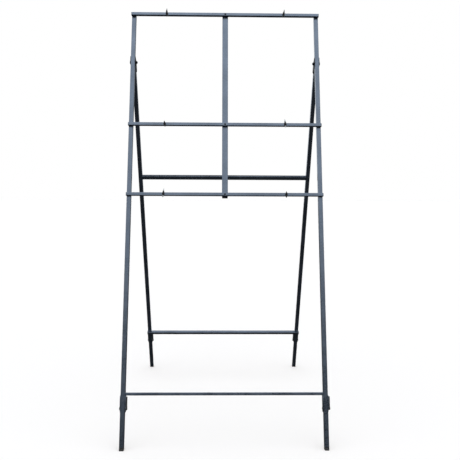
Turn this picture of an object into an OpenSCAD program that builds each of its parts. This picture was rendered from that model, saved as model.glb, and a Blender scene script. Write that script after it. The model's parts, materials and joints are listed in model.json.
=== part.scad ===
// Folding A-frame stand for a flat panel. Millimetres, +Z up, the panel side faces -Y.
// The origin is on the floor, under the middle of the opened stand.

/* [Stance] */
// Overall width over the legs
frame_w = 900; // [700:10:1000]
// Lean of the front frame from the vertical, top to the back
lean = 14.5; // [12:0.5:18]
// Splay of the rear frame from the vertical, feet to the back
splay = 21.1; // [18:0.1:25]
// Height of the hinge axis over the floor
hinge_h = 1711; // [1500:1:1900]

/* [Tubes] */
// Side of the square leg tube
leg = 20; // [20:1:22]
// Wall of the leg tube
leg_wall = 1.5; // [1.2:0.1:2]
// Side of the square rail tube
rail = 15; // [14:1:18]
// Wall of the rail, upright and tie tubes
rail_wall = 1.2; // [1:0.1:1.5]
// Width of the centre upright
upright_w = 27; // [24:1:30]
// Depth of the centre upright
upright_d = 15; // [12:1:16]
// Side of the square front tie bar
tie = 12; // [10:1:14]
// Height of the rear lower bar, along the leg
rear_bar_h = 15; // [14:1:22]
// Depth of the rear lower bar
rear_bar_d = 20; // [15:1:20]

/* [Rails and bars] */
// Middle of the top rail above the hinge, along the leg
top_rail_up = 240; // [180:1:260]
// Middle of the middle rail below the top rail
middle_rail_down = 554; // [500:1:600]
// Middle of the lower rail below the top rail
lower_rail_down = 888.5; // [850:0.5:920]
// End of the centre upright below the lower rail's middle
upright_tail = 9; // [9:0.5:20]
// Height of the plug's block under the centre upright
end_plug_h = 5; // [2:0.5:12]
// Middle of the front tie bar above the sole, along the leg
tie_up = 233; // [233:1:300]
// Middle of the rear upper bar below the hinge, along the leg
rear_upper_down = 592.5; // [500:0.5:700]
// Middle of the rear lower bar above the sole, along the leg
rear_lower_up = 271; // [271:1:300]

/* [Hinge] */
// Distance of the rear leg's centre line behind the hinge axis
hinge_offset = 22.5; // [22.5:0.5:25]
// Thickness of the hinge bracket's sheet
lug_t = 2; // [1.5:0.5:3]
// Radius of the bracket's eye around the bolt
eye_r = 11; // [10:0.5:13]
// Distance of the bracket's peak behind the hinge axis
peak_back = 10.5; // [9:0.5:14]
// Height of the bracket's peak above the hinge axis
peak_up = 25; // [20:1:28]
// Length of the bracket below the hinge axis
bracket_tail = 48; // [45:1:70]
// Radius of the hinge bolt
hinge_bolt_r = 4; // [4:0.5:5]
// Thickness of the washer under the hinge nut
washer_t = 1.2; // [1:0.1:1.6]

/* [Levelling feet] */
// End of the front legs above the sole, along the leg
front_leg_end = 206; // [206:1:220]
// End of the rear legs above the sole, along the leg
rear_leg_end = 236; // [236:1:240]
// How far each foot can be let down
foot_travel = 25; // [15:1:25]
// Height of the clamp bracket
clamp_h = 70; // [70:1:72]
// Thickness of the clamp bracket's sheet
clamp_t = 2.5; // [2:0.5:3]
// Distance of the clamp bolt below the leg's end
clamp_bolt_down = 34; // [34:1:36]
// Radius of the clamp bolt
clamp_bolt_r = 3; // [3:0.5:3.5]
// Length of the clamp lever from its axis to the middle of its tip
lever_len = 46; // [35:1:46]
// Height of the foot cap's block on the leg's centre line
cap_h = 12; // [10:1:20]

/* [Panel clips] */
// Distance of the clips from the middle of the rail
clip_x = 281; // [200:1:330]
// Length of a long clip's finger from the pivot to the middle of its tip
long_finger = 23; // [18:1:28]
// Length of a short clip's finger from the pivot to the middle of its tip
short_finger = 12; // [10:1:16]
// Length of a clip's tail from the pivot to the middle of its end
tail_len = 14; // [8:1:15]
// Thickness of the clip's plate
clip_t = 2; // [1.5:0.5:3]
// Gap behind the finger that the panel's edge goes into
panel_gap = 3; // [2:0.5:5]
// Radius of the clip's pivot screw
pivot_r = 2.5; // [2:0.5:3]

/* [Hidden] */

$fn = 48;

// Colours
FRAME_LIT = [0.44, 0.49, 0.56];
FRAME_DARK = [0.13, 0.15, 0.19];
PLASTIC = [0.05, 0.05, 0.06];
ZINC = [0.62, 0.63, 0.64];
BLACK_STEEL = [0.10, 0.10, 0.12];
RUBBER = [0.07, 0.07, 0.08];

// Sides: -1 is the left of someone who faces the panel, +1 the right
LEFT = -1;
RIGHT = 1;
// Side of its leg on which each clamp lever sits
LEVER_FRONT_LEFT = 1;
LEVER_FRONT_RIGHT = 1;
LEVER_REAR_LEFT = 1;
LEVER_REAR_RIGHT = -1;

// How far each clip is turned from upright, as left by its last user
TURN_TOP_LEFT = 0;
TURN_TOP_RIGHT = 10;
TURN_MIDDLE_LEFT = -8;
TURN_MIDDLE_RIGHT = -6;
TURN_LOWER_LEFT = 6;
TURN_LOWER_RIGHT = 1;

// Legs
half_leg = leg / 2;
leg_x = frame_w / 2 - half_leg;
front_len = hinge_h / cos(lean);
rear_len = (hinge_h + hinge_offset * sin(splay)) / cos(splay);
opening = lean + splay;
top_rail_z = top_rail_up;
middle_rail_z = top_rail_up - middle_rail_down;
lower_rail_z = top_rail_up - lower_rail_down;
RAIL_ZS = [top_rail_z, middle_rail_z, lower_rail_z];
leg_top = top_rail_z + rail / 2;
corner_r = 2;
inner_r = 0.6;

// Fits
running = 0.08;
sliding = 0.25;
bare_gap = 0.1;

// Rear lower bar, in front of its legs
rear_bar_y = hinge_offset - half_leg - rear_bar_d / 2;

// Rails and upright, from the leg's centre line
rail_back = -half_leg;
rail_front = rail_back - rail;
upright_back = rail_back + upright_d;
upright_low = lower_rail_z - upright_tail;

// Clip: a plate on a round hub, held by a screw through the rail
clip_hub_r = 5;
clip_body_r = 5.5;
finger_tip_r = 1.1;
tail_tip_r = 2.2;
clip_front = rail_front - bare_gap - panel_gap - clip_t;
pivot_head_r = 3.8;
pivot_head_t = 2;
pivot_nut_r = 4.6;
pivot_nut_t = 4;

// Screws through the centre upright
upright_screw_r = 2.5;
upright_head_r = 4.2;
upright_head_t = 2.6;
upright_nut_r = 4.6;
upright_nut_t = 5;
thread_over_nut = 1;
// Share of a round head's height and radius that its flat crown takes
crown_h = 0.3;
crown_r = 0.75;

// Plugs
plug_t = 1.5;
plug_fit = 0.1;
plug_depth = 9;
plug_overlap = 0.5;
end_plug_inset = 1;
// The upright's plugs stop short of the screws through it
plug_to_screw = 1.5;
top_plug_depth = rail / 2 - upright_screw_r - plug_to_screw;
end_plug_depth = upright_tail - upright_screw_r - plug_to_screw;

// Hinge
lug_in = half_leg + sliding;
lug_out = lug_in + lug_t;
web_front = hinge_offset + half_leg;
web_back = web_front + lug_t;
web_top = -5;
peak_r = 3;
hinge_head_r = 7.5;
hinge_head_t = 2.8;
hinge_nut_seat = lug_out + bare_gap + washer_t;
hinge_hex_r = 7.5;
hinge_nut_t = 7;
hinge_collar_r = 5.6;
hinge_collar_t = 2;
hinge_thread_over = 1.5;
hinge_washer_r = 8.5;

// Top of the rear leg, so that its plug's front edge meets the front leg when the stand is open
rear_leg_front = hinge_offset - half_leg;
rear_leg_top = (rear_leg_front * cos(opening) - half_leg - bare_gap) / sin(opening) - plug_t;

// Feet
clamp_in = half_leg + sliding;
clamp_out = half_leg + clamp_t;
clamp_over = 20;
clamp_washer_t = 0.8;
hub_t = 5.7;
hub_r = 7;
arm_t = 4;
arm_root_r = 5.5;
lever_tip_r = 4;
arm_inset = 1.2;
clamp_head_t = 3;
clamp_head_r = 5.8;
clamp_in_hub = 4.5;
thread_end_gap = 0.3;
slot_clear = 0.2;
foot_gap = 0.3;
spigot_leg = leg - 2 * leg_wall;
spigot_foot = spigot_leg - 2 * sliding;
spigot_wall = 2;
spigot_up = 60;
spigot_down = 76;
spigot_corner_r = 1;
cap_insert = 14;

// Place of the hinge axis, so that the stand's box is centred over the origin
front_reach = front_len * sin(lean) + half_leg / cos(lean);
rear_reach = rear_len * sin(splay) + hinge_offset * cos(splay) + half_leg / cos(splay);
hinge_y = (front_reach - rear_reach) / 2;

// ---------- placing ----------

// The front frame's own axes: z up the leg from the hinge axis, y to the back
module in_front() {
    translate([0, hinge_y, hinge_h]) rotate([-lean, 0, 0]) children();
}

// The rear frame's own axes: z up the leg from the hinge axis, y to the back
module in_rear() {
    translate([0, hinge_y, hinge_h]) rotate([splay, 0, 0]) children();
}

// The rear leg's own centre line
module on_rear_leg(side) {
    in_rear() translate([side * leg_x, hinge_offset, 0]) children();
}

// The front leg's own centre line
module on_front_leg(side) {
    in_front() translate([side * leg_x, 0, 0]) children();
}

// ---------- sections ----------

module rounded(w, d, r) {
    square([w - 2 * r, d], center = true);
    square([w, d - 2 * r], center = true);
    for (sx = [-1, 1], sy = [-1, 1])
        translate([sx * (w / 2 - r), sy * (d / 2 - r)]) circle(r);
}

module tube_section(w, d, wall) {
    difference() {
        rounded(w, d, corner_r);
        rounded(w - 2 * wall, d - 2 * wall, inner_r);
    }
}

// Upright tube from z0 to z1
module tube_z(w, d, wall, z0, z1) {
    translate([0, 0, z0]) linear_extrude(z1 - z0) tube_section(w, d, wall);
}

// Cross tube along x, centred: h is its height and d its depth
module tube_x(h, d, wall, length) {
    rotate([0, 90, 0]) translate([0, 0, -length / 2]) linear_extrude(length)
        tube_section(h, d, wall);
}

// Round bar or bore along x
module along_x(r, x0, x1) {
    translate([x0, 0, 0]) rotate([0, 90, 0]) cylinder(r = r, h = x1 - x0);
}

// Round bar or bore along y
module along_y(r, y0, y1) {
    translate([0, y0, 0]) rotate([-90, 0, 0]) cylinder(r = r, h = y1 - y0);
}

// Hexagon across its corners, along y
module hex_y(r, y0, y1) {
    translate([0, y0, 0]) rotate([-90, 0, 0]) cylinder(r = r, h = y1 - y0, $fn = 6);
}

// Hexagon across its corners, along x
module hex_x(r, x0, x1) {
    translate([x0, 0, 0]) rotate([0, 90, 0]) cylinder(r = r, h = x1 - x0, $fn = 6);
}

// Flat outline from a round of r1 at the origin to a round of r2, length up y
module taper(r1, r2, length, round_root = true) {
    b = asin((r1 - r2) / length);
    side = [cos(b), sin(b)];
    if (round_root) circle(r1);
    translate([0, length]) circle(r2);
    polygon([
        [r1 * side.x, r1 * side.y], [r2 * side.x, length + r2 * side.y],
        [-r2 * side.x, length + r2 * side.y], [-r1 * side.x, r1 * side.y]
    ]);
}

// Outline of what pushes into a tube
module plug_section(w, d, wall) {
    bore_less = 2 * (wall + plug_fit);
    rounded(w - bore_less, d - bore_less, inner_r);
}

// Push-in plug for a tube: a flat head and a shank, along +z from the tube's end
module plug(w, d, wall, depth = plug_depth) {
    linear_extrude(plug_t) rounded(w, d, corner_r);
    translate([0, 0, -depth]) linear_extrude(depth + plug_overlap) plug_section(w, d, wall);
}

// Round screw head along y: its seat at y, its crown towards -y
module round_head_y(r, t, seat) {
    crown_t = crown_h * t;
    along_y(r, seat - t + crown_t, seat);
    along_y(crown_r * r, seat - t, seat - t + crown_t);
}

// Plain nut along y from its seat, open for a screw of radius r
module nut_y(hex_r, t, r, seat) {
    difference() {
        hex_y(hex_r, seat, seat + t);
        along_y(r + running, seat - 1, seat + t + 1);
    }
}

// ---------- front frame ----------

module front_leg(side) {
    color(FRAME_LIT) on_front_leg(side) difference() {
        tube_z(leg, leg, leg_wall, front_leg_end - front_len, leg_top);
        along_x(hinge_bolt_r + running, -half_leg - 1, half_leg + 1);
    }
}

module rail_at(z) {
    color(FRAME_LIT) in_front() translate([0, rail_back - rail / 2, z]) difference() {
        tube_x(rail, rail, rail_wall, frame_w);
        along_y(upright_screw_r + running, -rail, rail);
        for (side = [LEFT, RIGHT])
            translate([side * clip_x, 0, 0]) along_y(pivot_r + running, -rail, rail);
    }
}

module centre_upright() {
    color(FRAME_LIT) in_front() difference() {
        translate([0, (rail_back + upright_back) / 2, 0])
            tube_z(upright_w, upright_d, rail_wall, upright_low, leg_top);
        for (z = RAIL_ZS)
            translate([0, 0, z]) along_y(upright_screw_r + running, rail_back - 1, upright_back + 1);
    }
}

module front_tie_bar() {
    color(FRAME_LIT) in_front() translate([0, 0, tie_up - front_len])
        tube_x(tie, tie, rail_wall, 2 * (leg_x - half_leg));
}

module upright_screws() {
    screw_end = upright_back + upright_nut_t + thread_over_nut;
    color(BLACK_STEEL) in_front() for (z = RAIL_ZS) translate([0, 0, z]) {
        along_y(upright_screw_r, rail_front, screw_end);
        round_head_y(upright_head_r, upright_head_t, rail_front);
    }
}

module upright_nuts() {
    color(ZINC) in_front() for (z = RAIL_ZS)
        translate([0, 0, z]) nut_y(upright_nut_r, upright_nut_t, upright_screw_r, upright_back);
}

// A thin plug on top and one with a thick block below
module upright_plugs() {
    inset = 2 * end_plug_inset;
    color(PLASTIC) in_front() translate([0, (rail_back + upright_back) / 2, 0]) {
        translate([0, 0, leg_top]) plug(upright_w, upright_d, rail_wall, top_plug_depth);
        translate([0, 0, upright_low - end_plug_h])
            linear_extrude(end_plug_h) rounded(upright_w - inset, upright_d - inset, corner_r);
        translate([0, 0, upright_low - plug_overlap])
            linear_extrude(end_plug_depth + plug_overlap) plug_section(upright_w, upright_d, rail_wall);
    }
}

module rail_plugs() {
    color(PLASTIC) in_front() for (z = RAIL_ZS, side = [LEFT, RIGHT])
        translate([side * frame_w / 2, rail_back - rail / 2, z]) rotate([0, side * 90, 0])
            plug(rail, rail, rail_wall);
}

module front_leg_plugs() {
    color(PLASTIC) for (side = [LEFT, RIGHT])
        on_front_leg(side) translate([0, 0, leg_top]) plug(leg, leg, leg_wall);
}

// ---------- hinge ----------

// Turns what is drawn for the right side round to the left
module outward(side) {
    mirror([side < 0 ? 1 : 0, 0, 0]) children();
}

// Bolt with a low round head outside
module hinge_bolt(side) {
    seat = lug_out + bare_gap;
    crown_from = seat + (1 - crown_h) * hinge_head_t;
    color(FRAME_LIT) on_front_leg(side) outward(side) {
        along_x(hinge_bolt_r, -hinge_nut_seat - hinge_nut_t - hinge_thread_over, crown_from);
        along_x(hinge_head_r, seat, crown_from);
        along_x(crown_r * hinge_head_r, crown_from - bare_gap, seat + hinge_head_t);
    }
}

// Locknut with a round collar
module hinge_nuts() {
    collar_from = -hinge_nut_seat - hinge_nut_t + hinge_collar_t;
    color(BLACK_STEEL) for (side = [LEFT, RIGHT])
        on_front_leg(side) outward(side) difference() {
            union() {
                hex_x(hinge_hex_r, collar_from, -hinge_nut_seat);
                along_x(hinge_collar_r, collar_from - hinge_collar_t, collar_from);
            }
            along_x(hinge_bolt_r + running, collar_from - hinge_collar_t - 1, -lug_out);
        }
}

module hinge_washers() {
    color(BLACK_STEEL) for (side = [LEFT, RIGHT])
        on_front_leg(side) outward(side) difference() {
            along_x(hinge_washer_r, -hinge_nut_seat, -hinge_nut_seat + washer_t);
            along_x(hinge_bolt_r + running, -hinge_nut_seat - 1, -lug_out + 1);
        }
}

// Touching point, on a round of radius r at the origin, of the line to p
function tangent_angle(p, r, turn) = atan2(p.y, p.x) + turn * acos(r / norm(p));

// Side view of a cheek, x to the back and y up the leg: an eye, a peak and a tail
module cheek_outline() {
    low = [web_front - leg, -bracket_tail];
    corner = [web_back, web_top];
    peak = [peak_back, peak_up];
    a_low = tangent_angle(low, eye_r, -1);
    a_back = tangent_angle(corner - peak, peak_r, 1);
    a_front = tangent_angle(peak, eye_r - peak_r, 1);
    circle(eye_r);
    translate(peak) circle(peak_r);
    polygon([
        eye_r * [cos(a_low), sin(a_low)], low, [web_back, -bracket_tail], corner,
        peak + peak_r * [cos(a_back), sin(a_back)], peak + peak_r * [cos(a_front), sin(a_front)],
        eye_r * [cos(a_front), sin(a_front)]
    ]);
}

// U of sheet: two cheeks beside both legs and a web behind the rear leg
module hinge_bracket(side) {
    color(BLACK_STEEL) in_rear() translate([side * leg_x, 0, 0]) difference() {
        translate([-lug_out, 0, 0]) rotate([90, 0, 90]) linear_extrude(2 * lug_out) cheek_outline();
        translate([-lug_in, -4 * eye_r, -2 * bracket_tail])
            cube([2 * lug_in, 4 * eye_r + web_front, 4 * bracket_tail]);
        along_x(hinge_bolt_r + running, -lug_out - 1, lug_out + 1);
    }
}

// ---------- rear frame ----------

module rear_leg(side) {
    color(FRAME_DARK) on_rear_leg(side)
        tube_z(leg, leg, leg_wall, rear_leg_end - rear_len, rear_leg_top);
}

module rear_upper_bar() {
    color(FRAME_DARK) in_rear() translate([0, hinge_offset, -rear_upper_down])
        tube_x(leg, leg, leg_wall, 2 * (leg_x - half_leg));
}

module rear_lower_bar() {
    color(FRAME_DARK) in_rear()
        translate([0, rear_bar_y, rear_lower_up - rear_len])
            tube_x(rear_bar_h, rear_bar_d, rail_wall, frame_w);
}

module rear_leg_plugs() {
    color(PLASTIC) for (side = [LEFT, RIGHT])
        on_rear_leg(side) translate([0, 0, rear_leg_top]) plug(leg, leg, leg_wall);
}

module rear_bar_plugs() {
    color(PLASTIC) in_rear() for (side = [LEFT, RIGHT])
        translate([side * frame_w / 2, rear_bar_y, rear_lower_up - rear_len])
            rotate([0, side * 90, 0]) plug(rear_bar_h, rear_bar_d, rail_wall);
}

// ---------- levelling feet, on the leg's own centre line with z = 0 at the sole ----------

module at_front_sole(side) {
    on_front_leg(side) translate([0, 0, -front_len]) children();
}

module at_rear_sole(side) {
    on_rear_leg(side) translate([0, 0, -rear_len]) children();
}

// U of sheet around the back and the sides of the leg's end, round at the bottom
module clamp_bracket(leg_end) {
    bolt_z = leg_end - clamp_bolt_down;
    top = leg_end + clamp_over;
    low = top - clamp_h;
    back = half_leg + clamp_t;
    color(FRAME_DARK) difference() {
        union() {
            translate([-clamp_out, -half_leg, bolt_z]) cube([2 * clamp_out, half_leg + back, top - bolt_z]);
            translate([-clamp_out, 0, low]) cube([2 * clamp_out, back, bolt_z - low]);
            translate([0, 0, bolt_z]) along_x(half_leg, -clamp_out, clamp_out);
        }
        translate([-half_leg, -leg, leg_end]) cube([leg, leg + half_leg, clamp_over + 1]);
        translate([-clamp_in, -leg, low - 1]) cube([2 * clamp_in, leg + clamp_in, leg_end + 1 - low]);
        translate([0, 0, bolt_z]) along_x(clamp_bolt_r + running, -clamp_out - 1, clamp_out + 1);
    }
}

// Inner tube: a tight upper half fixed in the leg and an easy lower half for the foot
module spigot(leg_end) {
    bore = spigot_foot - 2 * spigot_wall;
    low = leg_end - spigot_down;
    color(BLACK_STEEL) difference() {
        union() {
            translate([0, 0, leg_end]) linear_extrude(spigot_up)
                rounded(spigot_leg, spigot_leg, spigot_corner_r);
            translate([0, 0, low]) linear_extrude(spigot_down + 1)
                rounded(spigot_foot, spigot_foot, spigot_corner_r);
        }
        translate([0, 0, low - 1]) linear_extrude(spigot_down + spigot_up + 2)
            rounded(bore, bore, inner_r);
        translate([0, 0, leg_end - clamp_bolt_down]) along_x(clamp_bolt_r + running, -leg, leg);
    }
}

// Round-headed bolt across the bracket; the lever's side is +x
module clamp_bolt(leg_end, lever_side) {
    crown_t = crown_h * clamp_head_t;
    outward(lever_side) translate([0, 0, leg_end - clamp_bolt_down]) {
        along_x(clamp_bolt_r, -clamp_out, clamp_out + clamp_washer_t + clamp_in_hub);
        along_x(clamp_head_r, -clamp_out - clamp_head_t + crown_t, -clamp_out);
        along_x(crown_r * clamp_head_r, -clamp_out - clamp_head_t, -clamp_out - clamp_head_t + crown_t);
    }
}

module clamp_washer(leg_end, lever_side) {
    outward(lever_side) translate([0, 0, leg_end - clamp_bolt_down]) difference() {
        along_x(hub_r, clamp_out, clamp_out + clamp_washer_t - bare_gap);
        along_x(clamp_bolt_r + running, clamp_out - 1, clamp_out + clamp_washer_t + 1);
    }
}

// Lever with a threaded hub: tight when its arm points up the leg
module clamp_lever(leg_end, lever_side) {
    hub_in = clamp_out + clamp_washer_t;
    color(PLASTIC) outward(lever_side) translate([0, 0, leg_end - clamp_bolt_down])
        difference() {
            union() {
                along_x(hub_r, hub_in, hub_in + hub_t);
                translate([hub_in + arm_inset, 0, 0]) rotate([90, 0, 90]) linear_extrude(arm_t)
                    taper(arm_root_r, lever_tip_r, lever_len, false);
            }
            along_x(clamp_bolt_r + running, hub_in - 1, hub_in + clamp_in_hub + thread_end_gap);
        }
}

// Foot tube over the spigot, slotted for the clamp bolt
module foot_tube(leg_end) {
    bolt_z = leg_end - clamp_bolt_down;
    slot_r = clamp_bolt_r + slot_clear;
    color(FRAME_DARK) difference() {
        tube_z(leg, leg, leg_wall, cap_h, leg_end - foot_gap);
        translate([0, 0, bolt_z]) along_x(slot_r, -leg, leg);
        translate([0, 0, bolt_z + foot_travel]) along_x(slot_r, -leg, leg);
        translate([-leg, -slot_r, bolt_z]) cube([2 * leg, 2 * slot_r, foot_travel]);
    }
}

// Rubber cap cut to stand flat on the floor; tilt is the leg's angle from the vertical
module foot_cap(tilt) {
    color(RUBBER) difference() {
        union() {
            translate([0, 0, -leg]) linear_extrude(leg + cap_h) rounded(leg, leg, corner_r);
            translate([0, 0, cap_h - plug_overlap]) linear_extrude(cap_insert + plug_overlap)
                plug_section(leg, leg, leg_wall);
        }
        rotate([tilt, 0, 0]) translate([-leg, -2 * leg, -2 * leg]) cube([2 * leg, 4 * leg, 2 * leg]);
    }
}

// ---------- panel clips ----------

module on_rail_pivot(side, z, turn = 0) {
    in_front() translate([side * clip_x, 0, z]) rotate([0, turn, 0]) children();
}

module clip(side, z, turn, finger) {
    color(BLACK_STEEL) on_rail_pivot(side, z, turn) difference() {
        union() {
            along_y(clip_hub_r, clip_front + clip_t / 2, rail_front - bare_gap);
            translate([0, clip_front + clip_t, 0]) rotate([90, 0, 0]) linear_extrude(clip_t) {
                taper(clip_body_r, finger_tip_r, finger);
                mirror([0, 1]) taper(clip_body_r, tail_tip_r, tail_len);
            }
        }
        along_y(pivot_r + running, clip_front - 1, rail_front + 1);
    }
}

module clip_screws() {
    seat = clip_front - bare_gap;
    color(BLACK_STEEL) for (z = RAIL_ZS, side = [LEFT, RIGHT]) on_rail_pivot(side, z) {
        along_y(pivot_r, seat, rail_back + pivot_nut_t + thread_over_nut);
        round_head_y(pivot_head_r, pivot_head_t, seat);
    }
}

module clip_nuts() {
    color(ZINC) for (z = RAIL_ZS, side = [LEFT, RIGHT])
        on_rail_pivot(side, z) nut_y(pivot_nut_r, pivot_nut_t, pivot_r, rail_back);
}

// ---------- nodes ----------

front_leg(LEFT);  // front_leg_left
front_leg(RIGHT);  // front_leg_right
rail_at(top_rail_z);  // top_rail
rail_at(middle_rail_z);  // middle_rail
rail_at(lower_rail_z);  // lower_rail
centre_upright();
front_tie_bar();
upright_screws();
upright_nuts();
upright_plugs();
rail_plugs();
front_leg_plugs();
hinge_bolt(LEFT);  // hinge_bolt_left
hinge_bolt(RIGHT);  // hinge_bolt_right
hinge_nuts();
hinge_washers();
clip_screws();
clip_nuts();
rear_leg(LEFT);  // rear_leg_left
rear_leg(RIGHT);  // rear_leg_right
rear_upper_bar();
rear_lower_bar();
hinge_bracket(LEFT);  // hinge_bracket_left
hinge_bracket(RIGHT);  // hinge_bracket_right
rear_leg_plugs();
rear_bar_plugs();
at_front_sole(LEFT) clamp_bracket(front_leg_end);  // clamp_bracket_front_left
at_front_sole(RIGHT) clamp_bracket(front_leg_end);  // clamp_bracket_front_right
at_rear_sole(LEFT) clamp_bracket(rear_leg_end);  // clamp_bracket_rear_left
at_rear_sole(RIGHT) clamp_bracket(rear_leg_end);  // clamp_bracket_rear_right
at_front_sole(LEFT) spigot(front_leg_end);  // spigot_front_left
at_front_sole(RIGHT) spigot(front_leg_end);  // spigot_front_right
at_rear_sole(LEFT) spigot(rear_leg_end);  // spigot_rear_left
at_rear_sole(RIGHT) spigot(rear_leg_end);  // spigot_rear_right
color(BLACK_STEEL) {  // clamp_bolts_front
    at_front_sole(LEFT) clamp_bolt(front_leg_end, LEVER_FRONT_LEFT);
    at_front_sole(RIGHT) clamp_bolt(front_leg_end, LEVER_FRONT_RIGHT);
}
color(BLACK_STEEL) {  // clamp_bolts_rear
    at_rear_sole(LEFT) clamp_bolt(rear_leg_end, LEVER_REAR_LEFT);
    at_rear_sole(RIGHT) clamp_bolt(rear_leg_end, LEVER_REAR_RIGHT);
}
color(ZINC) {  // clamp_washers_front
    at_front_sole(LEFT) clamp_washer(front_leg_end, LEVER_FRONT_LEFT);
    at_front_sole(RIGHT) clamp_washer(front_leg_end, LEVER_FRONT_RIGHT);
}
color(ZINC) {  // clamp_washers_rear
    at_rear_sole(LEFT) clamp_washer(rear_leg_end, LEVER_REAR_LEFT);
    at_rear_sole(RIGHT) clamp_washer(rear_leg_end, LEVER_REAR_RIGHT);
}
at_front_sole(LEFT) clamp_lever(front_leg_end, LEVER_FRONT_LEFT);  // clamp_lever_front_left
at_front_sole(RIGHT) clamp_lever(front_leg_end, LEVER_FRONT_RIGHT);  // clamp_lever_front_right
at_rear_sole(LEFT) clamp_lever(rear_leg_end, LEVER_REAR_LEFT);  // clamp_lever_rear_left
at_rear_sole(RIGHT) clamp_lever(rear_leg_end, LEVER_REAR_RIGHT);  // clamp_lever_rear_right
at_front_sole(LEFT) foot_tube(front_leg_end);  // foot_tube_front_left
at_front_sole(RIGHT) foot_tube(front_leg_end);  // foot_tube_front_right
at_rear_sole(LEFT) foot_tube(rear_leg_end);  // foot_tube_rear_left
at_rear_sole(RIGHT) foot_tube(rear_leg_end);  // foot_tube_rear_right
at_front_sole(LEFT) foot_cap(lean);  // foot_cap_front_left
at_front_sole(RIGHT) foot_cap(lean);  // foot_cap_front_right
at_rear_sole(LEFT) foot_cap(-splay);  // foot_cap_rear_left
at_rear_sole(RIGHT) foot_cap(-splay);  // foot_cap_rear_right
clip(LEFT, top_rail_z, TURN_TOP_LEFT, long_finger);  // clip_top_left
clip(RIGHT, top_rail_z, TURN_TOP_RIGHT, long_finger);  // clip_top_right
clip(LEFT, middle_rail_z, TURN_MIDDLE_LEFT, short_finger);  // clip_middle_left
clip(RIGHT, middle_rail_z, TURN_MIDDLE_RIGHT, long_finger);  // clip_middle_right
clip(LEFT, lower_rail_z, TURN_LOWER_LEFT, long_finger);  // clip_lower_left
clip(RIGHT, lower_rail_z, TURN_LOWER_RIGHT, short_finger);  // clip_lower_right
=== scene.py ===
import json
import math
import random

import bmesh
import bpy
from mathutils import Matrix, Vector


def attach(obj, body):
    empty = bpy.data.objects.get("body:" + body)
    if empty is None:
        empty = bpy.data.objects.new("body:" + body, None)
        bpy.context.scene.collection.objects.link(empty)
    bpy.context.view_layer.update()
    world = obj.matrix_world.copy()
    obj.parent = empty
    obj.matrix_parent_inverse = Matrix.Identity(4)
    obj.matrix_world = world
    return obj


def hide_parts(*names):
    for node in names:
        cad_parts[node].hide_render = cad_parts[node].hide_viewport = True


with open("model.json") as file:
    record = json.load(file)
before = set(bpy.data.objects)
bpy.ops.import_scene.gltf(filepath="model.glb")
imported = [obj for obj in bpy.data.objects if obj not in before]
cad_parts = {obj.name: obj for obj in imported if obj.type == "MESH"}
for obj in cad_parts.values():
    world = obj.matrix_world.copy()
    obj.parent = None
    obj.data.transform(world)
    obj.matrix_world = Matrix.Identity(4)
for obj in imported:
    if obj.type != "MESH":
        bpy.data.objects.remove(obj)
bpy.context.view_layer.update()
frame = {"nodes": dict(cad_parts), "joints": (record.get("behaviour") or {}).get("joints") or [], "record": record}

MM = 0.001
SIDES = {"left": -1, "right": 1}
ROWS = ("top", "middle", "lower")
ENDS = ("front", "rear")
JOINTS = {j["name"]: j for j in frame["joints"]}
random.seed(11)


# ---------- places, worked out from the frame ----------

def local_axes(origin, up):
    """Matrix of a leaning frame: x across, z up the leg, y to the back."""
    z = Vector(up).normalized()
    x = Vector((1, 0, 0))
    y = z.cross(x)
    rows = Matrix((x, y, z)).transposed().to_4x4()
    return Matrix.Translation(origin) @ rows


HINGE = Vector(JOINTS["rear_fold"]["pos_m"])
FRONT_UP = -Vector(JOINTS["foot_slide_front_left"]["axis"])
REAR_UP = -Vector(JOINTS["foot_slide_rear_left"]["axis"])
AXES = {"front": local_axes(HINGE, FRONT_UP), "rear": local_axes(HINGE, REAR_UP)}
FRAME_BODY = {"front": "front_frame", "rear": "rear_frame"}


def local_box(node, end):
    """Lowest and highest corner of a CAD node in its own frame's axes."""
    turn = AXES[end].inverted()
    points = [turn @ v.co for v in frame["nodes"][node].data.vertices]
    low = Vector(min(p[i] for p in points) for i in range(3))
    high = Vector(max(p[i] for p in points) for i in range(3))
    return low, high


# ---------- node helpers ----------

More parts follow.
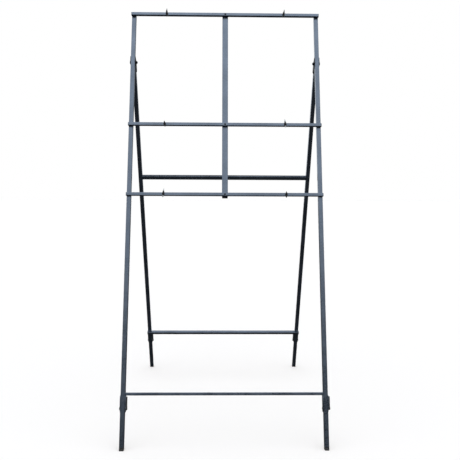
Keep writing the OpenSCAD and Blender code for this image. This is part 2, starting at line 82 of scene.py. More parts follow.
class Paper:
    """A material's node tree, with short calls for the nodes that the materials share."""

    def __init__(self, name):
        self.mat = bpy.data.materials.new(name)
        self.mat.use_nodes = True
        self.tree = self.mat.node_tree
        self.shader = self.tree.nodes["Principled BSDF"]
        coords = self.tree.nodes.new("ShaderNodeTexCoord")
        self.place = coords.outputs["Object"]

    def node(self, kind, **values):
        n = self.tree.nodes.new(kind)
        for key, value in values.items():
            setattr(n, key, value)
        return n

    def link(self, out, into):
        self.tree.links.new(out, into)

    def noise(self, scale, detail=2.0, rough=0.5, stretch=None, seed=0.0):
        n = self.node("ShaderNodeTexNoise", noise_dimensions="3D")
        n.inputs["Scale"].default_value = scale
        n.inputs["Detail"].default_value = detail
        n.inputs["Roughness"].default_value = rough
        mapping = self.node("ShaderNodeMapping")
        mapping.inputs["Location"].default_value = (seed, seed * 0.7, seed * 1.3)
        if stretch:
            mapping.inputs["Scale"].default_value = stretch
        self.link(self.place, mapping.inputs["Vector"])
        self.link(mapping.outputs["Vector"], n.inputs["Vector"])
        return n.outputs["Fac"]

    def ramp(self, value, low, high, out_low=0.0, out_high=1.0):
        n = self.node("ShaderNodeMapRange", interpolation_type="SMOOTHSTEP")
        n.inputs["From Min"].default_value = low
        n.inputs["From Max"].default_value = high
        n.inputs["To Min"].default_value = out_low
        n.inputs["To Max"].default_value = out_high
        self.link(value, n.inputs["Value"])
        return n.outputs["Result"]

    def math(self, kind, a, b=None, c=None):
        n = self.node("ShaderNodeMath", operation=kind)
        for i, value in enumerate((a, b, c)):
            if value is None:
                continue
            if isinstance(value, (int, float)):
                n.inputs[i].default_value = value
            else:
                self.link(value, n.inputs[i])
        return n.outputs[0]

    def mix(self, factor, a, b):
        n = self.node("ShaderNodeMix", data_type="RGBA")
        self.link(factor, n.inputs[0])
        for socket, value in ((n.inputs[6], a), (n.inputs[7], b)):
            if isinstance(value, tuple):
                socket.default_value = (*value, 1.0)
            else:
                self.link(value, socket)
        return n.outputs[2]

    def edges(self, radius):
        """1 on sharp outer edges, 0 on flats: how far a rounded normal leaves the true one."""
        bevel = self.node("ShaderNodeBevel", samples=6)
        bevel.inputs["Radius"].default_value = radius
        geometry = self.node("ShaderNodeNewGeometry")
        dot = self.node("ShaderNodeVectorMath", operation="DOT_PRODUCT")
        self.link(bevel.outputs["Normal"], dot.inputs[0])
        self.link(geometry.outputs["Normal"], dot.inputs[1])
        return self.math("SUBTRACT", 1.0, dot.outputs["Value"])

    def bump(self, layers):
        """Chains bumps of (height, distance, strength) into the shader's normal."""
        normal = None
        for height, distance, strength in layers:
            n = self.node("ShaderNodeBump")
            n.inputs["Distance"].default_value = distance
            n.inputs["Strength"].default_value = strength
            self.link(height, n.inputs["Height"])
            if normal is not None:
                self.link(normal, n.inputs["Normal"])
            normal = n.outputs["Normal"]
        self.link(normal, self.shader.inputs["Normal"])

    def put(self, color=None, rough=None, **constants):
        if color is not None:
            self.link(color, self.shader.inputs["Base Color"])
        if rough is not None:
            self.link(rough, self.shader.inputs["Roughness"])
        for key, value in constants.items():
            self.shader.inputs[key.replace("_", " ")].default_value = value
        return self.mat


# ---------- materials ----------

def paint(name, base, worn, rough=0.29, wear=1.0):
    """Satin powder coat on steel tube: orange peel, faint handling marks, thin coat on the edges."""
    p = Paper(name)
    cloud = p.noise(9.0, 3.0, 0.55)
    fine = p.noise(240.0, 2.0, 0.6, seed=3.1)
    tone = p.ramp(cloud, 0.3, 0.7)
    darker = tuple(c * 0.86 for c in base)
    lighter = tuple(c * 1.12 for c in base)
    coat = p.mix(tone, darker, lighter)
    dust = p.ramp(p.noise(30.0, 5.0, 0.7, seed=7.7), 0.56, 0.78, 0.0, 0.16)
    coat = p.mix(dust, coat, (0.34, 0.35, 0.36))
    streaks = p.ramp(p.noise(55.0, 4.0, 0.75, stretch=(3.0, 3.0, 0.35), seed=5.2), 0.66, 0.72, 0.0, 0.35)
    coat = p.mix(streaks, coat, tuple(c * 1.6 for c in base))
    patch = p.ramp(p.noise(70.0, 4.0, 0.7, seed=1.9), 0.52, 0.62, 0.0, wear)
    edge = p.math("MULTIPLY", p.ramp(p.edges(0.0012), 0.02, 0.16), patch)
    coat = p.mix(edge, coat, worn)
    sheen = p.ramp(cloud, 0.3, 0.7, rough - 0.04, rough + 0.05)
    gloss = p.math("ADD", p.ramp(fine, 0.3, 0.7, -0.05, 0.06), sheen)
    gloss = p.math("ADD", gloss, p.math("MULTIPLY", dust, 0.8))
    peel = p.noise(620.0, 1.0, 0.4, seed=2.2)
    p.bump([(peel, 0.00018, 0.35), (fine, 0.0002, 0.15)])
    return p.put(coat, gloss, Metallic=0.92, IOR=1.5)


def plastic(name, base, rough=0.5):
    """Moulded plug or lever: fine spark-eroded grain, dull with handling."""
    p = Paper(name)
    tone = p.ramp(p.noise(45.0, 3.0, 0.6), 0.3, 0.7)
    skin = p.mix(tone, tuple(c * 0.8 for c in base), tuple(c * 1.35 for c in base))
    edge = p.ramp(p.edges(0.0008), 0.02, 0.2, 0.0, 0.55)
    skin = p.mix(edge, skin, tuple(min(1.0, c * 2.6 + 0.02) for c in base))
    dust = p.ramp(p.noise(160.0, 4.0, 0.7, seed=4.0), 0.58, 0.8, 0.0, 0.25)
    skin = p.mix(dust, skin, (0.22, 0.22, 0.22))
    grain = p.noise(1500.0, 1.0, 0.5, seed=1.0)
    gloss = p.ramp(grain, 0.3, 0.7, rough - 0.06, rough + 0.1)
    p.bump([(grain, 0.00006, 0.5)])
    return p.put(skin, gloss, Metallic=0.0, IOR=1.48)


def rubber(name, base):
    """Foot rubber: matt, scuffed grey near the floor."""
    p = Paper(name)
    height = p.node("ShaderNodeSeparateXYZ")
    p.link(p.place, height.inputs[0])
    low = p.ramp(height.outputs["Z"], 0.022, 0.002)
    scuff = p.ramp(p.noise(210.0, 5.0, 0.75, seed=6.0), 0.42, 0.66)
    tone = p.ramp(p.noise(60.0, 3.0, 0.6), 0.3, 0.7)
    skin = p.mix(tone, tuple(c * 0.8 for c in base), tuple(c * 1.3 for c in base))
    skin = p.mix(p.math("MULTIPLY", p.math("MULTIPLY", low, scuff), 0.55), skin, (0.16, 0.155, 0.15))
    grain = p.noise(900.0, 2.0, 0.6, seed=8.0)
    p.bump([(grain, 0.0001, 0.45), (scuff, 0.0001, 0.3)])
    return p.put(skin, p.ramp(grain, 0.2, 0.8, 0.72, 0.92), Metallic=0.0, IOR=1.45)


def zinc(name, base, rough=0.3):
    """Bright zinc plate: faint blue and yellow passivation, dulled in patches."""
    p = Paper(name)
    hue = p.ramp(p.noise(120.0, 2.0, 0.5), 0.35, 0.65)
    plate = p.mix(hue, base, (base[0] * 1.02, base[1] * 0.97, base[2] * 0.86))
    dull = p.ramp(p.noise(420.0, 4.0, 0.7, seed=3.0), 0.5, 0.75)
    plate = p.mix(p.math("MULTIPLY", dull, 0.5), plate, (0.36, 0.37, 0.38))
    turned = p.noise(900.0, 2.0, 0.6, stretch=(1.0, 1.0, 6.0), seed=2.0)
    p.bump([(turned, 0.00004, 0.4)])
    return p.put(plate, p.ramp(dull, 0.0, 1.0, rough, rough + 0.25), Metallic=1.0)


def black_oxide(name, base, worn, rough=0.5, bare=None):
    """Blackened steel, bright on rubbed edges. bare gives how bare a clip's finger and tail
    are rubbed, as (height where it starts, height where it is full, share) above and below its pivot."""
    p = Paper(name)
    tone = p.ramp(p.noise(150.0, 3.0, 0.6), 0.3, 0.7)
    skin = p.mix(tone, tuple(c * 0.8 for c in base), tuple(c * 1.4 for c in base))
    rub = p.ramp(p.noise(330.0, 3.0, 0.7, seed=9.0), 0.4, 0.6)
    edge = p.math("MULTIPLY", p.ramp(p.edges(0.0006), 0.03, 0.2), rub)
    skin = p.mix(edge, skin, worn)
    if bare:
        height = p.node("ShaderNodeSeparateXYZ")
        p.link(p.place, height.inputs[0])
        ragged = p.math("ADD", height.outputs["Z"], p.ramp(rub, 0.0, 1.0, -0.0012, 0.0012))
        for start, full, share in bare:
            skin = p.mix(p.ramp(ragged, start, full, 0.0, share), skin, worn)
    grain = p.noise(1100.0, 2.0, 0.6, seed=4.0)
    p.bump([(grain, 0.00005, 0.4)])
    return p.put(skin, p.ramp(grain, 0.3, 0.7, rough - 0.05, rough + 0.1), Metallic=0.0, IOR=1.35)


MATERIALS = {
    "frame_front": paint("slate_powder_coat", (0.150, 0.176, 0.222), (0.40, 0.41, 0.42)),
    # The rear frame takes a darker copy of the same powder coat: painted shade for its faces, which lie in shade
    "frame_rear": paint("slate_powder_coat_rear_painted_shade", (0.135, 0.158, 0.200), (0.38, 0.39, 0.40)),
    "plastic": plastic("moulded_black_plastic", (0.018, 0.018, 0.020)),
    "rubber": rubber("foot_rubber", (0.022, 0.022, 0.023)),
    "zinc": zinc("zinc_plate", (0.60, 0.61, 0.62)),
    "black_steel": black_oxide("black_oxide_steel", (0.007, 0.007, 0.008), (0.20, 0.20, 0.21)),
}
# The clips' fingers and tails are rubbed bare to different degrees
CLIP_TIPS = black_oxide("black_clip_grey_tip", (0.007, 0.007, 0.008), (0.34, 0.35, 0.37),
                        bare=((0.010, 0.024, 0.75),))
CLIP_BARE = black_oxide("black_clip_bare_ends", (0.007, 0.007, 0.008), (0.60, 0.61, 0.63),
                        bare=((0.011, 0.015, 0.95), (-0.006, -0.010, 0.75)))
CLIP_FINISH = {
    "clip_top_left": CLIP_TIPS, "clip_top_right": CLIP_TIPS,
    "clip_middle_right": CLIP_BARE, "clip_lower_left": CLIP_BARE,
}
SLOT_OF = {s["node"]: s["material_slot"] for s in frame["record"]["subparts"]}


def finish_nodes():
    """Every CAD node that shows takes the material of its slot."""
    for name, obj in frame["nodes"].items():
        obj.data.materials.clear()
        obj.data.materials.append(MATERIALS[SLOT_OF[name]])


# ---------- mesh helpers ----------

ROUND = 48               # steps round a turned shape, a multiple of 6 so that hexagons keep their corners
TURN = [math.tau * i / ROUND for i in range(ROUND)]


def facing(end, point, axis):
    """Place at a point of a leaning frame, its z along one of that frame's directions."""
    return AXES[end] @ Matrix.Translation(point) @ Vector(axis).to_track_quat("Z", "Y").to_matrix().to_4x4()


def piece(name, bm, body, slot, stands_for=(), crease=38.0, material=None, place=None):
    """Object from a mesh under construction, smooth but for its creases, riding on its body."""
    bmesh.ops.recalc_face_normals(bm, faces=bm.faces)
    if place is not None:
        bm.transform(place.inverted())
    mesh = bpy.data.meshes.new(name)
    bm.to_mesh(mesh)
    bm.free()
    mesh.shade_smooth()
    mesh.set_sharp_from_angle(angle=math.radians(crease))
    mesh.materials.append(material or MATERIALS[slot])
    obj = bpy.data.objects.new(name, mesh)
    bpy.context.scene.collection.objects.link(obj)
    if place is not None:
        obj.matrix_world = place
        bpy.context.view_layer.update()
    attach(obj, body)
    if stands_for:
        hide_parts(*stands_for)
    return obj


def loft(bm, rings):
    """Closed skin over rings of points, flat at both ends."""
    rows = [[bm.verts.new(p) for p in ring] for ring in rings]
    count = len(rows[0])
    for low, high in zip(rows, rows[1:]):
        for i in range(count):
            j = (i + 1) % count
            bm.faces.new((low[i], low[j], high[j], high[i]))
    bm.faces.new(rows[0][::-1])
    bm.faces.new(rows[-1])


def circle(place, radius, height):
    return [place @ Vector((radius * math.cos(a), radius * math.sin(a), height)) for a in TURN]


def hexagon(place, corner, height, chamfer_from=None, drop=0.0):
    """Ring of a hexagon. Beyond chamfer_from its corners fall by drop for each metre outwards."""
    ring = []
    for a in TURN:
        reach = corner * math.cos(math.pi / 6) / math.cos(a % (math.pi / 3) - math.pi / 6)
        fall = 0.0 if chamfer_from is None else drop * (reach - chamfer_from)
        ring.append(place @ Vector((reach * math.cos(a), reach * math.sin(a), height - fall)))
    return ring


def hex_block(bm, place, corner, low, high):
    """Hexagon nut, chamfered at 30 degrees on both sides."""
    face = 0.95 * corner * math.cos(math.pi / 6)
    slope = math.tan(math.pi / 6)
    loft(bm, [
        circle(place, face, low), hexagon(place, corner, low, face, -slope),
        hexagon(place, corner, high, face, slope), circle(place, face, high),
    ])


def turned(bm, place, profile):
    """Round shape about place's z axis from its (radius, height) profile."""
    loft(bm, [circle(place, r, h) for r, h in profile])


# Shares of a screw's radius
THREAD_PITCH = 0.32
THREAD_ROOT = 0.86
THREAD_TIP = 0.80
# Shares of a round head's radius and height: its flat top and its upright rim
DOME_FLAT = 0.42
DOME_RIM = 0.10


def shank(bm, place, radius, tip, seat, plain):
    """Screw shank from its tip up to its seat, threaded except for the plain part under the head."""
    pitch, root = THREAD_PITCH * radius, THREAD_ROOT * radius
    profile = [(THREAD_TIP * radius, tip), (root, tip + 0.5 * pitch)]
    height = tip + pitch
    while height < seat - plain:
        profile += [(radius, height), (root, height + 0.5 * pitch)]
        height += pitch
    turned(bm, place, profile + [(radius, height), (radius, seat)])


def dome(place, radius, height, steps=8):
    """Rings of a low dome on the seat at z = 0."""
    rings = [circle(place, 0.97 * radius, 0.0), circle(place, radius, DOME_RIM * height)]
    for k in range(1, steps):
        a = math.radians(88.0 * k / steps)
        reach = DOME_FLAT + (1 - DOME_FLAT) * math.cos(a)
        rise = DOME_RIM + (1 - DOME_RIM) * math.sin(a)
        rings.append(circle(place, radius * reach, height * rise))
    return rings


def socket_head(bm, place, radius, height, socket):
    """Button head with a hexagon socket."""
    rings = dome(place, radius, height)
    rings += [circle(place, 1.05 * socket, 0.99 * height), hexagon(place, socket, 0.94 * height)]
    loft(bm, rings + [hexagon(place, socket, 0.35 * height)])


def weld(bm, path, radius):
    """Rippled bead along a path, sunk to its middle in the corner that it fills."""
    pitch = 1.15 * radius
    points = []
    for a, b in zip(path, path[1:]):
        steps = max(2, round(4 * (b - a).length / pitch))
        points += [a.lerp(b, k / steps) for k in range(steps)]
    points.append(path[-1])
    rings = []
    travelled = 0.0
    swell = 1.0
    side = (path[1] - path[0]).orthogonal().normalized()
    for i, point in enumerate(points):
        before, after = points[max(i - 1, 0)], points[min(i + 1, len(points) - 1)]
        along = (after - before).normalized()
        side = (side - along * side.dot(along)).normalized()
        other = along.cross(side)
        travelled += (point - before).length
        if i % 4 == 0:
            swell = random.uniform(0.90, 1.08)
        end = min(1.0, 0.40 + 0.20 * min(i, len(points) - 1 - i))
        r = radius * end * swell * (0.94 + 0.14 * abs(math.sin(math.pi * travelled / pitch)))
        rings.append([point + r * (math.cos(t) * side + math.sin(t) * other) for t in TURN[::4]])
    loft(bm, rings)


SAME_POINT = 0.002 * MM
FLAT_ANGLE = math.radians(1.0)
SHARP_ANGLE = math.radians(30.0)


def rounded_copy(node, body, width, segments=2, material=None, place=None):
    """The CAD node's own shape with its sharp edges rounded, which then stands for it."""
    bm = bmesh.new()
    bm.from_mesh(frame["nodes"][node].data)
    bmesh.ops.remove_doubles(bm, verts=bm.verts, dist=SAME_POINT)
    bmesh.ops.dissolve_limit(bm, angle_limit=FLAT_ANGLE, verts=bm.verts, edges=bm.edges)
    sharp = [e for e in bm.edges if len(e.link_faces) == 2 and e.calc_face_angle(0.0) > SHARP_ANGLE]
    bmesh.ops.bevel(bm, geom=sharp, offset=width, segments=segments, profile=0.5,
                    affect="EDGES", clamp_overlap=True)
    return piece(node + "_rounded", bm, body, SLOT_OF[node], (node,), 50.0, material, place)


# ---------- sizes that the pieces share ----------

LEG_LOW, LEG_HIGH = local_box("front_leg_right", "front")
HALF_LEG = (LEG_HIGH.x - LEG_LOW.x) / 2
LEG_X = (LEG_HIGH.x + LEG_LOW.x) / 2
REAR_LOW, REAR_HIGH = local_box("rear_leg_right", "rear")
LEG_Y = {"front": 0.0, "rear": (REAR_LOW.y + REAR_HIGH.y) / 2}
BEAD = 1.5 * MM          # radius of a weld bead
THIN_BEAD = 0.8 * BEAD
SUNK = 0.5 * MM          # how far a bead's middle lies inside the corner that it fills
BEAD_SHORT = 2.4 * MM    # how far a bead across a leg stops short of the leg's edges
BRACKET_BEAD = 18 * MM   # length of the beads on a leg's sides, under its hinge bracket
GAP = 0.1 * MM

SCREW_R = 2.5 * MM       # clip and upright screws
SCREW_HEAD = {"clip": (3.8 * MM, 2.0 * MM), "upright": (4.2 * MM, 2.6 * MM)}
SOCKET = 1.6 * MM        # corner radius of the sockets
SMALL_NUT = 4.6 * MM
HINGE_R = 4.0 * MM
HINGE_HEAD = (7.5 * MM, 2.8 * MM)
HINGE_HEX = 7.5 * MM
HINGE_NUT_T = 7.0 * MM
COLLAR_R, COLLAR_T = 5.6 * MM, 2.0 * MM
CLAMP_R = 3.0 * MM
CLAMP_HEAD = (5.8 * MM, 3.0 * MM)
CLAMP_IN_HUB = 5.3 * MM  # how far the clamp bolt reaches beyond the bracket on the lever's side


def joint_spot(name, end):
    """A joint's point in its leaning frame's own axes."""
    return AXES[end].inverted() @ Vector(JOINTS[name]["pos_m"])


# ---------- fasteners ----------

def small_screws():
    """Socket button screws of the clips and of the upright, with plain nuts behind."""
    pivots = [joint_spot(f"clip_turn_{row}_{side}", "front") for row in ROWS for side in SIDES]
    rail_heights = sorted({round(p.z, 6) for p in pivots})
    places = {"clip": [(p.x, p.z) for p in pivots], "upright": [(0.0, z) for z in rail_heights]}
    for kind, (head_r, head_t) in SCREW_HEAD.items():
        screws, nuts = bmesh.new(), bmesh.new()
        screw_low, screw_high = local_box(kind + "_screws", "front")
        nut_low, nut_high = local_box(kind + "_nuts", "front")
        seat = screw_low.y + head_t
        for x, z in places[kind]:
            out = facing("front", (x, seat, z), (0, -1, 0))
            socket_head(screws, out, head_r, head_t, SOCKET)
            shank(screws, out, SCREW_R, seat - screw_high.y, GAP, nut_high.y - seat)
            back = facing("front", (x, nut_low.y, z), (0, 1, 0))
            hex_block(nuts, back, SMALL_NUT, 0.0, nut_high.y - nut_low.y)
        piece(kind + "_screws_turned", screws, "front_frame", "black_steel", (kind + "_screws",), 32.0)
        piece(kind + "_nuts_chamfered", nuts, "front_frame", "zinc", (kind + "_nuts",), 25.0)


def hinge_bolts():
    """Bolts with low round heads outside, and locknuts with a round collar inside."""
    head_r, head_t = HINGE_HEAD
    low, high = local_box("hinge_bolt_right", "front")
    seat, tail = high.x - LEG_X - head_t, LEG_X - low.x
    nut_seat = LEG_X - local_box("hinge_nuts", "front")[1].x
    nut_end = nut_seat + HINGE_NUT_T
    nuts = bmesh.new()
    for side, sign in SIDES.items():
        bolt = bmesh.new()
        place = facing("front", (sign * LEG_X, 0, 0), (sign, 0, 0))
        loft(bolt, dome(place @ Matrix.Translation((0, 0, seat)), head_r, head_t))
        shank(bolt, place, HINGE_R, -tail, seat, tail)
        piece(f"hinge_bolt_{side}_turned", bolt, "front_frame", "frame_front", (f"hinge_bolt_{side}",), 25.0)
        hex_block(nuts, place, HINGE_HEX, COLLAR_T - nut_end, -nut_seat)
        collar = [(0.80, 0.0), (0.95, 0.3 * MM), (1.0, 0.9 * MM), (1.0, COLLAR_T + 0.4 * MM)]
        turned(nuts, place, [(share * COLLAR_R, height - nut_end) for share, height in collar])
    piece("hinge_nuts_chamfered", nuts, "front_frame", "black_steel", ("hinge_nuts",), 25.0)


def clamp_bolts(end):
    """Mushroom heads on one side of each clamp bracket, the thread in the lever's hub on the other."""
    bolts = bmesh.new()
    for side, sign in SIDES.items():
        clamp_out = local_box(f"clamp_bracket_{end}_right", end)[1].x - LEG_X
        pivot = joint_spot(f"lever_turn_{end}_{side}", end)
        lever_side = math.copysign(1, pivot.x - sign * LEG_X)
        place = facing(end, (sign * LEG_X, pivot.y, pivot.z), (-lever_side, 0, 0))
        loft(bolts, dome(place @ Matrix.Translation((0, 0, clamp_out)), *CLAMP_HEAD))
        shank(bolts, place, CLAMP_R, -clamp_out - CLAMP_IN_HUB, clamp_out, 2 * clamp_out)
    piece(f"clamp_bolts_{end}_turned", bolts, FRAME_BODY[end], "black_steel", (f"clamp_bolts_{end}",), 32.0)


# ---------- welds ----------

def bead_across(bm, end, sign, y, z, radius=BEAD):
    """Bead across a leg's face, between what runs over it and the leg."""
    half = HALF_LEG - BEAD_SHORT
    path = [AXES[end] @ Vector((sign * LEG_X + x, y, z)) for x in (-half, half)]
    weld(bm, path, radius)


def bead_round(bm, end, sign, node, radius=BEAD):
    """Bead round the end of a bar that butts against the inner side of a leg."""
    low, high = local_box(node, end)
    x = sign * (high.x - 0.2 * MM)
    y0, z0 = (low.y + high.y) / 2, (low.z + high.z) / 2
    half_y, half_z, cut = (high.y - low.y) / 2, (high.z - low.z) / 2, 1.6 * MM
    outline = [
        (half_y - cut, half_z), (half_y, half_z - cut), (half_y, cut - half_z), (half_y - cut, -half_z),
        (cut - half_y, -half_z), (-half_y, cut - half_z), (-half_y, half_z - cut), (cut - half_y, half_z),
        (half_y - 1.1 * cut, half_z),
    ]
    weld(bm, [AXES[end] @ Vector((x, y0 + y, z0 + z)) for y, z in outline], radius)


def bead_around_leg(bm, end, sign, z, front_y, back_y, half_x, radius):
    """U-shaped bead on both sides and the back of a leg, along the edge of a sheet bracket."""
    cut = 1.5 * MM
    outline = [
        (-half_x, front_y), (-half_x, back_y - cut), (cut - half_x, back_y),
        (half_x - cut, back_y), (half_x, back_y - cut), (half_x, front_y),
    ]
    weld(bm, [AXES[end] @ Vector((sign * LEG_X + x, y, z)) for x, y in outline], radius)


def welds():
    front, rear = bmesh.new(), bmesh.new()
    for sign in SIDES.values():
        for row in ROWS:
            low, high = local_box(row + "_rail", "front")
            bead_across(front, "front", sign, high.y - SUNK, low.z + SUNK)
            if row != "top":
                bead_across(front, "front", sign, high.y - SUNK, high.z - SUNK)
        bead_round(front, "front", sign, "front_tie_bar", THIN_BEAD)
        low, high = local_box("rear_lower_bar", "rear")
        for z in (low.z + SUNK, high.z - SUNK):
            bead_across(rear, "rear", sign, high.y - SUNK, z)
        bead_round(rear, "rear", sign, "rear_upper_bar", THIN_BEAD)
        low, high = local_box("hinge_bracket_right", "rear")
        leg_back = LEG_Y["rear"] + HALF_LEG
        bead_around_leg(rear, "rear", sign, low.z - SUNK, leg_back - BRACKET_BEAD, leg_back + SUNK,
                        HALF_LEG + SUNK, BEAD)
        for end, bm in (("front", front), ("rear", rear)):
            top = local_box(f"clamp_bracket_{end}_right", end)[1].z
            reach = HALF_LEG + 0.6 * MM
            leg_front = LEG_Y[end] - HALF_LEG + 2 * MM
            bead_around_leg(bm, end, sign, top + 0.2 * MM, leg_front, LEG_Y[end] + reach, reach, THIN_BEAD)
    piece("welds_front", front, "front_frame", "frame_front", crease=60.0)
    piece("welds_rear", rear, "rear_frame", "frame_rear", crease=60.0)


# ---------- feet, clips and the rest ----------

def square_ring(half, corner):
    """Rounded square about the origin, as (x, y) points."""
    ring = []
    inner = half - corner
    for quarter in range(4):
        a0 = quarter * math.pi / 2
        cx = inner if quarter in (0, 3) else -inner
        cy = inner if quarter in (0, 1) else -inner
        angles = [a0 + k * math.pi / 18 for k in range(10)]
        ring += [(cx + corner * math.cos(a), cy + corner * math.sin(a)) for a in angles]
    return ring


def foot_caps():
    """Rubber caps with a groove under their rim, cut flat where they stand on the floor."""
    block_h, corner = 12.0 * MM, 2.2 * MM
    for end in ENDS:
        turn = AXES[end].to_3x3()
        y_up, z_up = turn.col[1].z, turn.col[2].z
        sole = -(HINGE.z + LEG_Y[end] * y_up) / z_up

        for side, sign in SIDES.items():
            def at(x, y, height):
                return AXES[end] @ Vector((sign * LEG_X + x, LEG_Y[end] + y, sole + height))

            def section(half, height):
                return [at(x, y, height) for x, y in square_ring(half, corner)]

            def floor_cut(half, height):
                """Ring parallel to the floor, at a height over it."""
                return [at(x, y, (height - y * y_up) / z_up) for x, y in square_ring(half, corner)]

            full, rim = HALF_LEG, block_h
            bm = bmesh.new()
            loft(bm, [
                floor_cut(full - 0.9 * MM, 0.0), floor_cut(full - 0.25 * MM, 0.3 * MM),
                floor_cut(full, 0.9 * MM),
                section(full, rim - 4.4 * MM), section(full - 0.25 * MM, rim - 4.0 * MM),
                section(full - 0.7 * MM, rim - 3.7 * MM), section(full - 0.7 * MM, rim - 3.1 * MM),
                section(full - 0.25 * MM, rim - 2.8 * MM), section(full, rim - 2.4 * MM),
                section(full, rim - 0.4 * MM), section(full - 0.3 * MM, rim),
            ])
            node = f"foot_cap_{end}_{side}"
            piece(node + "_moulded", bm, f"foot_{end}_{side}", "rubber", (node,), 50.0)


PLUG_EDGE = 0.45 * MM
CLAMP_EDGE = 0.45 * MM
HINGE_EDGE = 0.5 * MM
LEVER_EDGE = 1.1 * MM
CLIP_EDGE = 0.5 * MM


def rounded_nodes():
    """Plugs, levers, sheet brackets and clips keep their CAD shape and get rounded edges."""
    for node in ("rail_plugs", "front_leg_plugs", "upright_plugs"):
        rounded_copy(node, "front_frame", PLUG_EDGE)
    for node in ("rear_leg_plugs", "rear_bar_plugs"):
        rounded_copy(node, "rear_frame", PLUG_EDGE)
    for side in SIDES:
        rounded_copy(f"hinge_bracket_{side}", "rear_frame", HINGE_EDGE)
        for end in ENDS:
            rounded_copy(f"clamp_bracket_{end}_{side}", FRAME_BODY[end], CLAMP_EDGE)
            rounded_copy(f"clamp_lever_{end}_{side}", f"lever_{end}_{side}", LEVER_EDGE, 3)
        for row in ROWS:
            node = f"clip_{row}_{side}"
            place = AXES["front"] @ Matrix.Translation(joint_spot(f"clip_turn_{row}_{side}", "front"))
            rounded_copy(node, node, CLIP_EDGE, 2, CLIP_FINISH.get(node), place)


# ---------- stage ----------

SKY_LIGHT = 1.45         # radiance of the soft sky in front of the stand
SKY_COLOR = (0.90, 0.96, 1.0)
DIM = 0.03               # share of it near the horizon
BACK_FILL = 0.30         # share of it low behind the stand, on the right
BACK_FILL_LEFT = 0.90    # and on the left
FLOOR_SEEN = 0.60        # floor albedo that the camera sees
FLOOR_GLOW = (0.39, 0.35, 0.33)     # light added to what the camera sees of the floor, up to white
FLOOR_BOUNCE = 0.06      # floor albedo that lights the object from below


def build_floor():
    """Near white to the camera, dark as a light source, so that undersides stay dark."""
    bpy.ops.mesh.primitive_plane_add(size=60, location=(0, 0, 0))
    floor = bpy.context.object
    floor.name = "floor"
    mat = bpy.data.materials.new("pale_floor")
    mat.use_nodes = True
    tree = mat.node_tree
    tree.nodes.clear()

    def diffuse(albedo):
        n = tree.nodes.new("ShaderNodeBsdfDiffuse")
        n.inputs["Color"].default_value = (albedo, albedo, albedo, 1.0)
        return n.outputs[0]

    glow = tree.nodes.new("ShaderNodeEmission")
    glow.inputs["Color"].default_value = (*FLOOR_GLOW, 1.0)
    seen = tree.nodes.new("ShaderNodeAddShader")
    tree.links.new(diffuse(FLOOR_SEEN), seen.inputs[0])
    tree.links.new(glow.outputs[0], seen.inputs[1])
    mix = tree.nodes.new("ShaderNodeMixShader")
    path = tree.nodes.new("ShaderNodeLightPath")
    tree.links.new(path.outputs["Is Camera Ray"], mix.inputs[0])
    tree.links.new(diffuse(FLOOR_BOUNCE), mix.inputs[1])
    tree.links.new(seen.outputs[0], mix.inputs[2])
    out = tree.nodes.new("ShaderNodeOutputMaterial")
    tree.links.new(mix.outputs[0], out.inputs["Surface"])
    floor.data.materials.append(mat)


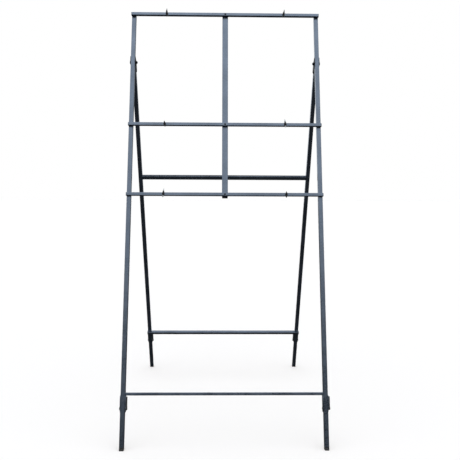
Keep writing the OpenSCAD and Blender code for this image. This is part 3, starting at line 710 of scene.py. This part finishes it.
def build_sky():
    """White to the camera. As light, a soft sky that darkens towards the horizon in front,
    and behind has a low fill, a dark band and the same brightness overhead."""
    sky = bpy.data.worlds.new("studio")
    bpy.context.scene.world = sky
    sky.use_nodes = True
    tree = sky.node_tree
    light = tree.nodes["Background"]

    def ramp(value, low, high, out_low=0.0, out_high=1.0):
        n = tree.nodes.new("ShaderNodeMapRange")
        n.interpolation_type = "SMOOTHSTEP"
        for name, number in zip(("From Min", "From Max", "To Min", "To Max"), (low, high, out_low, out_high)):
            n.inputs[name].default_value = number
        tree.links.new(value, n.inputs["Value"])
        return n.outputs["Result"]

    def blend(factor, a, b):
        n = tree.nodes.new("ShaderNodeMix")
        n.data_type = "FLOAT"
        for index, value in ((0, factor), (2, a), (3, b)):
            if isinstance(value, float):
                n.inputs[index].default_value = value
            else:
                tree.links.new(value, n.inputs[index])
        return n.outputs[0]

    def add(a, b):
        n = tree.nodes.new("ShaderNodeMath")
        tree.links.new(a, n.inputs[0])
        tree.links.new(b, n.inputs[1])
        return n.outputs[0]

    def scaled(value, by):
        n = tree.nodes.new("ShaderNodeMath")
        n.operation = "MULTIPLY"
        tree.links.new(value, n.inputs[0])
        n.inputs[1].default_value = by
        return n.outputs[0]

    split = tree.nodes.new("ShaderNodeSeparateXYZ")
    tree.links.new(tree.nodes.new("ShaderNodeTexCoord").outputs["Generated"], split.inputs[0])
    right, back, up = split.outputs
    in_front = add(ramp(up, 0.10, 0.48, DIM, 0.85), ramp(up, 0.45, 0.85, 0.0, 0.35))
    fill = ramp(right, -0.12, 0.12, BACK_FILL_LEFT, BACK_FILL)
    behind = add(blend(ramp(up, 0.25, 0.50), fill, DIM), ramp(up, 0.77, 0.88, 0.0, 1.5))
    share = blend(ramp(back, -0.2, 0.3), in_front, behind)
    tree.links.new(scaled(share, SKY_LIGHT), light.inputs["Strength"])
    light.inputs["Color"].default_value = (*SKY_COLOR, 1.0)

    seen = tree.nodes.new("ShaderNodeBackground")
    seen.inputs["Color"].default_value = (1.0, 1.0, 1.0, 1.0)
    mix = tree.nodes.new("ShaderNodeMixShader")
    path = tree.nodes.new("ShaderNodeLightPath")
    tree.links.new(path.outputs["Is Camera Ray"], mix.inputs[0])
    tree.links.new(light.outputs[0], mix.inputs[1])
    tree.links.new(seen.outputs[0], mix.inputs[2])
    tree.links.new(mix.outputs[0], tree.nodes["World Output"].inputs["Surface"])


def build_camera():
    """Stands in front of the panel side, level with the lower rail and tipped down a little."""
    data = bpy.data.cameras.new("camera")
    data.sensor_width = 36.0
    data.lens = 45.66
    data.clip_end = 100.0
    camera = bpy.data.objects.new("camera", data)
    bpy.context.scene.collection.objects.link(camera)
    pitch, yaw, roll = (math.radians(a) for a in (4.92, -1.02, 0.28))
    turn = Matrix.Rotation(yaw, 4, "Z") @ Matrix.Rotation(math.pi / 2 - pitch, 4, "X")
    spot = Matrix.Translation((-0.0236, -2.9757, 1.1546))
    camera.matrix_world = spot @ turn @ Matrix.Rotation(roll, 4, "Z")
    bpy.context.scene.camera = camera


build_floor()
build_sky()
build_camera()
bpy.context.scene.view_settings.view_transform = "Standard"
finish_nodes()
small_screws()
hinge_bolts()
for end in ENDS:
    clamp_bolts(end)
welds()
foot_caps()
rounded_nodes()
